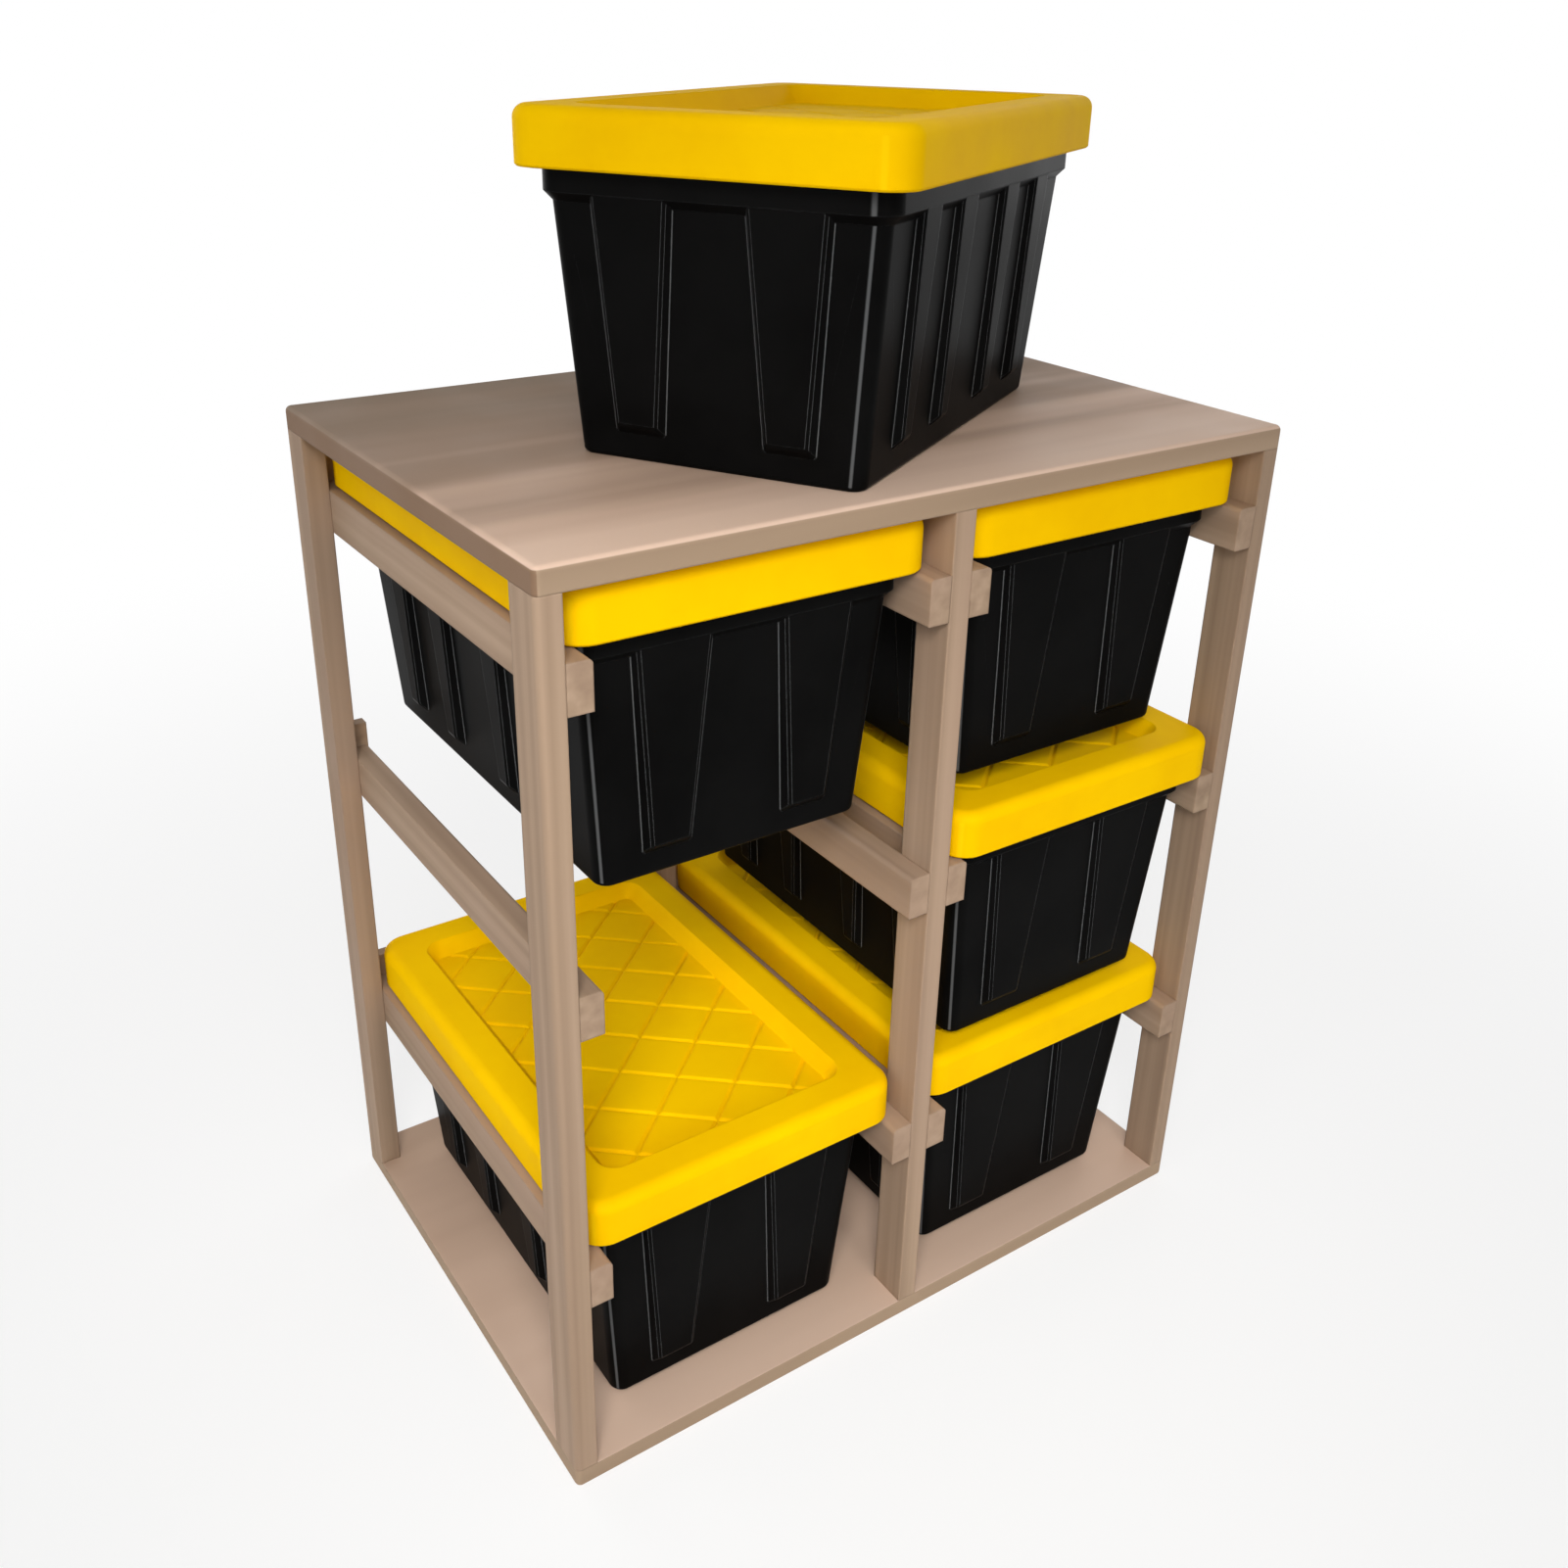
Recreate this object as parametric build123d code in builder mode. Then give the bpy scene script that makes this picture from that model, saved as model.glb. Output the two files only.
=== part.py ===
from build123d import *
import math
import os

os.makedirs("parts", exist_ok=True)

# Bin: a tapered tub with raised wedge ribs, a collar and an outward flange.
base_w = 62.2            # outside of the floor, across
base_l = 102.6           # outside of the floor, front to back
corner_r = 3.3           # upright corners of the tub
base_edge_r = 1.2        # rounding under the floor
draft_w = 3.7            # lean of each long side by the height of the shoulder
draft_l = 2.75           # lean of each short side
body_h = 49.0            # floor to shoulder
shoulder_step = 1.8      # the shoulder slopes out this far, at 45 degrees
shoulder_lap = 1.0       # tub and shoulder run this far into each other
collar_h = 6.0           # shoulder to the underside of the flange
flange_reach = 2.2       # overhang of the flange, which hangs on the rails
flange_r = 4.6           # upright corners of the flange
wall = 1.6               # wall of the tub
floor_t = 1.8            # floor of the tub

# Wedge ribs: two on each short side, two pairs on each long side.
rib_low = 5.5            # foot of a rib above the floor
rib_ramp = 2.0           # height over which the foot rises out of the wall
rib_proud_low = 1.9      # how proud the rib is above its foot
rib_proud_top = 1.5      # how proud it is at the shoulder
rib_run = 1.3            # slope of a rib's flanks, across
rib_edge = 0.45          # flat on a rib's front edges
short_rib_top = 17.5     # width of a short side's rib at the shoulder
short_rib_low = 11.0     # its width at the foot
short_rib_gap = 32.4     # between the middles of the two ribs
long_rib_top = 10.6      # width of a long side's rib at the shoulder
long_rib_low = 6.6       # its width at the foot
long_rib_gap = 21.1      # between the middles of the ribs of a pair
long_pair_gap = 48.1     # between the middles of the two pairs

# Lid: a cap with a deep skirt, a broad rim and a sunken panel.
lid_gap = 0.3            # clearance from the flange to the skirt, all round
lid_wall = 1.6           # skirt and rim
lid_h = 11.0             # height of the lid
skirt_lift = 0.2         # from the underside of the flange up to the skirt's lower edge
lid_edge_r = 2.6         # rounding of the top edge
lid_foot = 0.4           # flat on the skirt's lower outer edge
lid_rim_w = 9.0          # width of the rim, seen from above
recess_h = 4.0           # depth of the sunken panel
recess_lean = 2.6        # lean of the recess's sides
recess_r = 4.8           # corners of the recess at the rim
panel_t = 1.6            # sunken panel
tray_side = 2.0          # the recess's sides, across
lattice_step = 18.0      # between neighbouring grooves, along the lid
lattice_turn = 40.6      # angle of the grooves from the lid's width
groove_w = 1.4           # width of a groove in the sunken panel
groove_h = 0.6           # its depth

# Rack: two slabs, six posts and twelve rails with rear stops.
slab_t = 5.2             # bottom and top slabs
slab_edge_r = 1.4        # rounding of the outer upright edges
slab_rim_r = 1.26        # rounding of the slabs' outer level edges
post_w = 5.2             # posts, across
post_d = 10.0            # posts, front to back
post_edge_r = 0.25       # rounding of the posts' other front edges, beside the rails
rail_w = 5.2             # rails, across
rail_h = 10.0            # rails, upright
rail_edge_r = 1.0        # rounding of a rail's free top edge
stop_d = 3.0             # rear stop, front to back
stop_h = 6.0             # rear stop above the rail
rail_gap = 0.65          # from a rail to the collar that hangs beside it
seat_gap = 0.2           # running clearance under a hanging flange
stop_gap = 0.4           # from a pushed-in lid to the rear stops
front_reveal = 3.5       # how far a pushed-in lid stands behind the posts' fronts
floor_gap = 1.5          # from the bottom slab to the lowest bins
level_gap = 2.0          # from a lid to the bin above it
roof_gap = 1.5           # from the highest lids to the top slab

# Joinery inside the rack: posts tenoned into the slabs, rails pegged to the posts.
tenon_w = 2.8
tenon_d = 6.0
tenon_h = 2.5
peg_d = 2.6              # pegs, front to back
peg_h = 2.4              # pegs, upright
peg_l = 2.0
joint_gap = 0.05         # clearance around tenons and pegs

# Where the totes stand in the photograph.
mid_right_pulled = 4.4   # the middle right tote stands this far forward
loose_x = 6.2            # middle of the loose tote on the top slab
loose_y = -5.4
loose_turn = -59.5       # turned clockwise, seen from above

# Sizes that follow from those above.
shoulder_w = base_w + 2 * draft_w
shoulder_l = base_l + 2 * draft_l
collar_w = shoulder_w + 2 * shoulder_step
collar_l = shoulder_l + 2 * shoulder_step
collar_r = corner_r + shoulder_step
hang_h = body_h + collar_h
flange_w = collar_w + 2 * flange_reach
flange_l = collar_l + 2 * flange_reach
lid_in_w = flange_w + 2 * lid_gap
lid_in_l = flange_l + 2 * lid_gap
lid_in_r = flange_r + lid_gap
lid_w = lid_in_w + 2 * lid_wall
lid_l = lid_in_l + 2 * lid_wall
lid_r = lid_in_r + lid_wall
lid_z = hang_h + skirt_lift
rim_h = skirt_lift + lid_h - lid_wall
tote_h = lid_z + lid_h
recess_w = lid_w - 2 * lid_rim_w
recess_l = lid_l - 2 * lid_rim_w
recess_turn = math.degrees(math.atan(recess_lean / recess_h))
panel_w = recess_w - 2 * recess_lean
panel_l = recess_l - 2 * recess_lean
panel_r = recess_r - recess_lean
panel_z = lid_h - recess_h

bay_w = collar_w + 2 * rail_gap + 2 * rail_w
rack_w = 2 * bay_w + 3 * post_w
rack_d = front_reveal + lid_l + stop_gap + stop_d
bay_x = (bay_w + post_w) / 2
tote_y = -rack_d / 2 + front_reveal + lid_l / 2
level_pitch = tote_h + level_gap
rail_top_low = slab_t + floor_gap + hang_h - seat_gap
rail_top_mid = rail_top_low + level_pitch
rail_top_high = rail_top_mid + level_pitch
post_h = rail_top_high + seat_gap - hang_h + tote_h + roof_gap - slab_t
rack_h = post_h + 2 * slab_t
rail_tops = {"low": rail_top_low, "mid": rail_top_mid, "top": rail_top_high}
post_y = rack_d / 2 - post_d / 2
side_post_x = rack_w / 2 - post_w / 2


def tapered_block(inset: float, low: float, radius: float) -> Part:
    """Block that widens upwards as the tub does, inset from its sides, with rounded upright corners.

    It stands from height low up into the shoulder.
    """
    top = body_h + shoulder_lap
    half_w = {z: base_w / 2 + draft_w * z / body_h - inset for z in (low, top)}
    half_l = {z: base_l / 2 + draft_l * z / body_h - inset for z in (low, top)}
    with BuildPart() as block:
        with BuildSketch(Plane.XZ):
            Polygon(
                (-half_w[low], low),
                (half_w[low], low),
                (half_w[top], top),
                (-half_w[top], top),
                align=None,
            )
        extrude(amount=base_l, both=True)
        with BuildSketch(Plane.YZ):
            Polygon(
                (-half_l[low], low),
                (half_l[low], low),
                (half_l[top], top),
                (-half_l[top], top),
                align=None,
            )
        extrude(amount=base_w, both=True, mode=Mode.INTERSECT)
        fillet(block.edges().filter_by(lambda edge: edge.bounding_box().size.Z > body_h / 2), radius)
    return block.part


def wedge_rib(half: float, lean: float, low_width: float, top_width: float) -> Part:
    """Rib on the middle of a side that faces -Y, widening upwards, with sloped flanks and foot.

    The side's foot stands half from the middle and leans out by lean up to the shoulder. The rib's top
    end is hidden in the collar.
    """
    top = body_h + shoulder_step
    ramp_top = rib_low + rib_ramp
    out = {z: half + lean * z / body_h for z in (rib_low, ramp_top, body_h)}
    front_low = out[ramp_top] + rib_proud_low
    front_rise = (out[body_h] + rib_proud_top - front_low) / (body_h - ramp_top)
    with BuildPart() as rib:
        with BuildSketch(Plane.YZ):
            Polygon(
                (-out[rib_low] + wall / 2, rib_low),
                (-out[rib_low], rib_low),
                (-front_low, ramp_top),
                (-front_low - front_rise * (top - ramp_top), top),
                (-out[body_h] + wall / 2, top),
                align=None,
            )
        extrude(amount=top_width, both=True)
        for side in (-1, 1):
            foot = Vector(side * low_width / 2, -out[rib_low], rib_low)
            upward = Vector(side * top_width / 2, -out[body_h], body_h) - foot
            outward = Vector(-side * rib_run, -rib_proud_low, 0)
            flank = Plane(origin=foot, x_dir=upward, z_dir=outward.cross(upward) * side)
            split(bisect_by=flank, keep=Keep.TOP)
        front = rib.faces().sort_by(Axis.Y)[0]
        ramp = rib.faces().filter_by(lambda face: face.normal_at().Z < -0.3).sort_by(Axis.Y)[0]
        hidden = (front.edges() + ramp.edges()).group_by(Axis.Z)
        shown = [edge for group in hidden[1:-1] for edge in group]
        chamfer(set(shown), rib_edge)
    return rib.part


# The bin's shape, standing on its own floor: a tub under a collar with a sloped shoulder and a flange.
tub = tapered_block(0, 0, corner_r)
hollow = tapered_block(wall, floor_t, corner_r - wall)
short_rib = wedge_rib(base_l / 2, draft_l, short_rib_low, short_rib_top)
long_rib = wedge_rib(base_w / 2, draft_w, long_rib_low, long_rib_top)
short_places = [
    Location((one * short_rib_gap / 2, 0, 0), (0, 0, turn)) for turn in (0, 180) for one in (-1, 1)
]
long_places = [
    Location((0, pair * long_pair_gap / 2 + one * long_rib_gap / 2, 0), (0, 0, turn))
    for turn in (90, -90)
    for pair in (-1, 1)
    for one in (-1, 1)
]

with BuildPart() as collar_hollow:
    with BuildSketch(Plane.XY.offset(body_h - shoulder_lap)):
        RectangleRounded(collar_w - 2 * wall, collar_l - 2 * wall, collar_r - wall)
    extrude(amount=shoulder_lap + collar_h + wall)
    chamfer(collar_hollow.edges().group_by(Axis.Z)[0], shoulder_step + shoulder_lap)
    with BuildSketch(Plane.XY.offset(hang_h + wall)):
        RectangleRounded(flange_w - 2 * wall, flange_l - 2 * wall, flange_r - wall)
    extrude(amount=rim_h - wall)

with BuildPart() as bin_shape:
    with BuildSketch(Plane.XY.offset(body_h - shoulder_lap)):
        RectangleRounded(collar_w, collar_l, collar_r)
    extrude(amount=shoulder_lap + collar_h)
    chamfer(bin_shape.edges().group_by(Axis.Z)[0], shoulder_step + shoulder_lap)
    add(tub)
    fillet(bin_shape.edges().group_by(Axis.Z)[0], base_edge_r)
    with BuildSketch(Plane.XY.offset(hang_h)):
        RectangleRounded(flange_w, flange_l, flange_r)
    extrude(amount=rim_h)
    with Locations(*short_places):
        add(short_rib)
    with Locations(*long_places):
        add(long_rib)
    add(hollow, mode=Mode.SUBTRACT)
    add(collar_hollow.part, mode=Mode.SUBTRACT)

# The lid's lattice: two families of straight V grooves that cross on the sunken panel.
groove_rows = [lattice_step * (row + 0.5) for row in range(-4, 4)]
with BuildPart() as lattice:
    for turn in (-lattice_turn, lattice_turn):
        along = Vector(1, 0, 0).rotate(Axis.Z, turn)
        across = Vector(0, 1, 0).rotate(Axis.Z, turn)
        for row in groove_rows:
            with BuildSketch(Plane(origin=(0, row, panel_z), x_dir=across, z_dir=along)):
                Polygon((-groove_w, groove_h), (0, -groove_h), (groove_w, groove_h), align=None)
    extrude(amount=lid_w, both=True)
    with BuildSketch(Plane.XY.offset(panel_z - groove_h)):
        RectangleRounded(panel_w, panel_l, panel_r)
    extrude(amount=2 * groove_h, mode=Mode.INTERSECT)

# The lid's shape, with its skirt's lower edge on the ground. Recess and tray narrow downwards.
with BuildPart() as recess:
    with BuildSketch(Plane.XY):
        RectangleRounded(recess_w, recess_l, recess_r)
    extrude(amount=recess_h, taper=recess_turn)

tray_h = recess_h + panel_t - lid_wall
tray_grow = tray_side + recess_lean * (panel_t - lid_wall) / recess_h
with BuildPart() as tray:
    with BuildSketch(Plane.XY):
        RectangleRounded(recess_w + 2 * tray_grow, recess_l + 2 * tray_grow, recess_r + tray_grow)
    extrude(amount=tray_h, taper=recess_turn)

with BuildPart() as lid_shape:
    with BuildSketch(Plane.XY):
        RectangleRounded(lid_w, lid_l, lid_r)
    extrude(amount=lid_h)
    fillet(lid_shape.edges().group_by(Axis.Z)[-1], lid_edge_r)
    chamfer(lid_shape.edges().group_by(Axis.Z)[0], lid_foot)
    with BuildSketch(Plane.XY):
        RectangleRounded(lid_in_w, lid_in_l, lid_in_r)
    extrude(amount=lid_h - lid_wall, mode=Mode.SUBTRACT)
    with Locations(Location((0, 0, lid_h - lid_wall), (180, 0, 0))):
        add(tray.part)
    with Locations(Location((0, 0, lid_h), (180, 0, 0))):
        add(recess.part, mode=Mode.SUBTRACT)
    add(lattice.part, mode=Mode.SUBTRACT)

# Six totes: five hang on rails, one stands turned on the top slab.
hung = {level: top + seat_gap - hang_h for level, top in rail_tops.items()}
tote_places = {
    "top_left": Location((-bay_x, tote_y, hung["top"])),
    "top_right": Location((bay_x, tote_y, hung["top"])),
    "mid_right": Location((bay_x, tote_y - mid_right_pulled, hung["mid"])),
    "low_left": Location((-bay_x, tote_y, hung["low"])),
    "low_right": Location((bay_x, tote_y, hung["low"])),
    "loose": Location((loose_x, loose_y, rack_h), (0, 0, loose_turn)),
}
for name, place in tote_places.items():
    with BuildPart() as tote_bin:
        with Locations(place):
            add(bin_shape.part)
    tote_bin.part.label = f"bin_{name}"
    export_step(tote_bin.part, f"parts/bin_{name}.step")

    with BuildPart() as tote_lid:
        with Locations(place * Location((0, 0, lid_z))):
            add(lid_shape.part)
    tote_lid.part.label = f"lid_{name}"
    export_step(tote_lid.part, f"parts/lid_{name}.step")

# Slabs, with a blind mortise for every post.
post_places = [(x, y) for x in (-side_post_x, 0, side_post_x) for y in (-post_y, post_y)]

with BuildPart() as bottom_panel:
    with BuildSketch(Plane.XY):
        RectangleRounded(rack_w, rack_d, slab_edge_r)
    extrude(amount=slab_t)
    fillet(bottom_panel.edges().group_by(Axis.Z)[0], slab_rim_r)
    with BuildSketch(Plane.XY.offset(slab_t)):
        with Locations(*post_places):
            Rectangle(tenon_w + 2 * joint_gap, tenon_d + 2 * joint_gap)
    extrude(amount=-(tenon_h + joint_gap), mode=Mode.SUBTRACT)
bottom_panel.part.label = "bottom_panel"
export_step(bottom_panel.part, "parts/bottom_panel.step")

with BuildPart() as top_panel:
    with BuildSketch(Plane.XY.offset(slab_t + post_h)):
        RectangleRounded(rack_w, rack_d, slab_edge_r)
    extrude(amount=slab_t)
    fillet(top_panel.edges().group_by(Axis.Z)[-1], slab_rim_r)
    with BuildSketch(Plane.XY.offset(slab_t + post_h)):
        with Locations(*post_places):
            Rectangle(tenon_w + 2 * joint_gap, tenon_d + 2 * joint_gap)
    extrude(amount=tenon_h + joint_gap, mode=Mode.SUBTRACT)
top_panel.part.label = "top_panel"
export_step(top_panel.part, "parts/top_panel.step")

# Posts: the front left one carries rails on its right face, the centre one on both faces.
peg_levels = [top - rail_h / 2 for top in rail_tops.values()]
hole_l = peg_l + joint_gap

with BuildPart() as post_front_left:
    with BuildSketch(Plane.XY.offset(slab_t)):
        with Locations((-side_post_x, -post_y)):
            Rectangle(post_w, post_d)
    extrude(amount=post_h)
    uprights = post_front_left.edges().filter_by(Axis.Z).sort_by(Axis((0, 0, 0), (1, 1, 0)))
    fillet(uprights[0], slab_edge_r)
    uprights = post_front_left.edges().filter_by(Axis.Z).group_by(Axis.Y)[0].sort_by(Axis.X)
    fillet(uprights[-1], post_edge_r)
    with BuildSketch(Plane.XY.offset(slab_t - tenon_h)):
        with Locations((-side_post_x, -post_y)):
            Rectangle(tenon_w, tenon_d)
    extrude(amount=post_h + 2 * tenon_h)
    with Locations(*[(-side_post_x + post_w / 2 - hole_l / 2, -post_y, z) for z in peg_levels]):
        Box(hole_l, peg_d + 2 * joint_gap, peg_h + 2 * joint_gap, mode=Mode.SUBTRACT)
post_front_left.part.label = "post_front_left"
export_step(post_front_left.part, "parts/post_front_left.step")

with BuildPart() as post_front_right:
    mirror(post_front_left.part, about=Plane.YZ)
post_front_right.part.label = "post_front_right"
export_step(post_front_right.part, "parts/post_front_right.step")

with BuildPart() as post_rear_left:
    mirror(post_front_left.part, about=Plane.XZ)
post_rear_left.part.label = "post_rear_left"
export_step(post_rear_left.part, "parts/post_rear_left.step")

with BuildPart() as post_rear_right:
    mirror(post_front_right.part, about=Plane.XZ)
post_rear_right.part.label = "post_rear_right"
export_step(post_rear_right.part, "parts/post_rear_right.step")

with BuildPart() as post_front_centre:
    with BuildSketch(Plane.XY.offset(slab_t)):
        with Locations((0, -post_y)):
            Rectangle(post_w, post_d)
    extrude(amount=post_h)
    fillet(post_front_centre.edges().filter_by(Axis.Z).group_by(Axis.Y)[0], post_edge_r)
    with BuildSketch(Plane.XY.offset(slab_t - tenon_h)):
        with Locations((0, -post_y)):
            Rectangle(tenon_w, tenon_d)
    extrude(amount=post_h + 2 * tenon_h)
    hole_places = [
        (side * (post_w - hole_l) / 2, -post_y, z) for side in (-1, 1) for z in peg_levels
    ]
    with Locations(*hole_places):
        Box(hole_l, peg_d + 2 * joint_gap, peg_h + 2 * joint_gap, mode=Mode.SUBTRACT)
post_front_centre.part.label = "post_front_centre"
export_step(post_front_centre.part, "parts/post_front_centre.step")

with BuildPart() as post_rear_centre:
    mirror(post_front_centre.part, about=Plane.XZ)
post_rear_centre.part.label = "post_rear_centre"
export_step(post_rear_centre.part, "parts/post_rear_centre.step")

# Rails: a bar with a rear stop, pegged to the inner faces of a front and a rear post.
rail_x = -rack_w / 2 + post_w + rail_w / 2
for level, top in rail_tops.items():
    with BuildPart() as left_outer:
        with BuildSketch(Plane.YZ.offset(rail_x - rail_w / 2)):
            with BuildLine():
                Polyline(
                    (-rack_d / 2, top - rail_h),
                    (-rack_d / 2, top),
                    (rack_d / 2 - stop_d, top),
                    (rack_d / 2 - stop_d, top + stop_h),
                    (rack_d / 2, top + stop_h),
                    (rack_d / 2, top - rail_h),
                    close=True,
                )
            make_face()
        extrude(amount=rail_w)
        free_edges = left_outer.edges().filter_by(Axis.Y).group_by(Axis.X)[-1]
        long_edges = free_edges.filter_by(lambda edge: edge.length > stop_d * 2)
        fillet(long_edges.sort_by(Axis.Z)[-1], rail_edge_r)
        with Locations(*[(rail_x - rail_w / 2 - peg_l / 2, y, top - rail_h / 2) for y in (-post_y, post_y)]):
            Box(peg_l, peg_d, peg_h)
    left_outer.part.label = f"rail_{level}_left_outer"
    export_step(left_outer.part, f"parts/rail_{level}_left_outer.step")

    with BuildPart() as left_inner:
        mirror(left_outer.part, about=Plane.YZ.offset(-bay_x))
    left_inner.part.label = f"rail_{level}_left_inner"
    export_step(left_inner.part, f"parts/rail_{level}_left_inner.step")

    with BuildPart() as right_inner:
        mirror(left_inner.part, about=Plane.YZ)
    right_inner.part.label = f"rail_{level}_right_inner"
    export_step(right_inner.part, f"parts/rail_{level}_right_inner.step")

    with BuildPart() as right_outer:
        mirror(left_outer.part, about=Plane.YZ)
    right_outer.part.label = f"rail_{level}_right_outer"
    export_step(right_outer.part, f"parts/rail_{level}_right_outer.step")

print(f"rack {rack_w:.2f} x {rack_d:.2f} x {rack_h:.2f}, with the loose tote {rack_h + tote_h:.2f} high")
print(f"tote {lid_w:.2f} x {lid_l:.2f} x {tote_h:.2f}, rail tops {[round(t, 2) for t in rail_tops.values()]}")
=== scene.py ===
"""Dresses a desktop rack of hanging lidded totes: finishes, studio, light and camera."""

import logging
import math
from dataclasses import dataclass, field
from enum import Enum
from typing import Any, Dict, List, Sequence, Tuple, Union

import bmesh
import bpy
from mathutils import Matrix, Vector


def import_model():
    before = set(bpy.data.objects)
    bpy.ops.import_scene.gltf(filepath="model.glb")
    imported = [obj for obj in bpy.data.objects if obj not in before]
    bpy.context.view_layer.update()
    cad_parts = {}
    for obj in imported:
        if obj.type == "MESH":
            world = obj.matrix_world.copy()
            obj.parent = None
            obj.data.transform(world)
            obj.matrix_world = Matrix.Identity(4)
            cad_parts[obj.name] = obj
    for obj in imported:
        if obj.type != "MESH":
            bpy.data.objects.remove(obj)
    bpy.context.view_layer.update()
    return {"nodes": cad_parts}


LOG = logging.getLogger("tote_rack")

Colour = Tuple[float, float, float]
Triple = Tuple[float, float, float]
Span = Tuple[float, float]
Socket = Tuple[bpy.types.Node, str]
Stops = Tuple[Tuple[float, Colour], ...]

WHITE: Colour = (1.0, 1.0, 1.0)
WARM: Colour = (1.0, 0.98, 0.95)
UNSCALED: Triple = (1.0, 1.0, 1.0)
UNIT: Span = (0.0, 1.0)

# The screen's transfer curve: straight up to the knee, a power above it.
SCREEN_LEVELS = 255.0
SCREEN_KNEE = 0.04045
SCREEN_SLOPE = 12.92
SCREEN_OFFSET = 0.055
SCREEN_POWER = 2.4

# Values between which most of a noise lies.
NOISE_SPAN: Span = (0.3, 0.7)
# Octaves of the fine surface grain, and the strength of the finer ones.
GRIT_DETAIL = 2.0
GRIT_ROUGH = 0.6
# Sizes of a normal along Z at which a surface starts to count as upright, and does so fully.
UPRIGHT_TILT: Span = (0.3, 0.14)
# Sizes of a normal along an axis at which a face starts to face that way, and does so fully.
FACE_TILT: Span = (0.4, 0.6)
BEVEL_SAMPLES = 6


class Grain(Enum):
    """Direction along which a board's soft bands run."""

    ACROSS = "across"
    DEEP = "deep"
    UPRIGHT = "upright"


def linear(red: int, green: int, blue: int) -> Colour:
    """Turns a colour as it is seen on a screen into scene-linear values.

    Args:
        red: Red, 0 to 255.
        green: Green, 0 to 255.
        blue: Blue, 0 to 255.

    Returns:
        The three linear values, 0 to 1.
    """

    def decode(level: int) -> float:
        """Undoes the screen's transfer curve for one channel."""
        share = level / SCREEN_LEVELS
        if share <= SCREEN_KNEE:
            return share / SCREEN_SLOPE
        return ((share + SCREEN_OFFSET) / (1.0 + SCREEN_OFFSET)) ** SCREEN_POWER

    return decode(red), decode(green), decode(blue)


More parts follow.
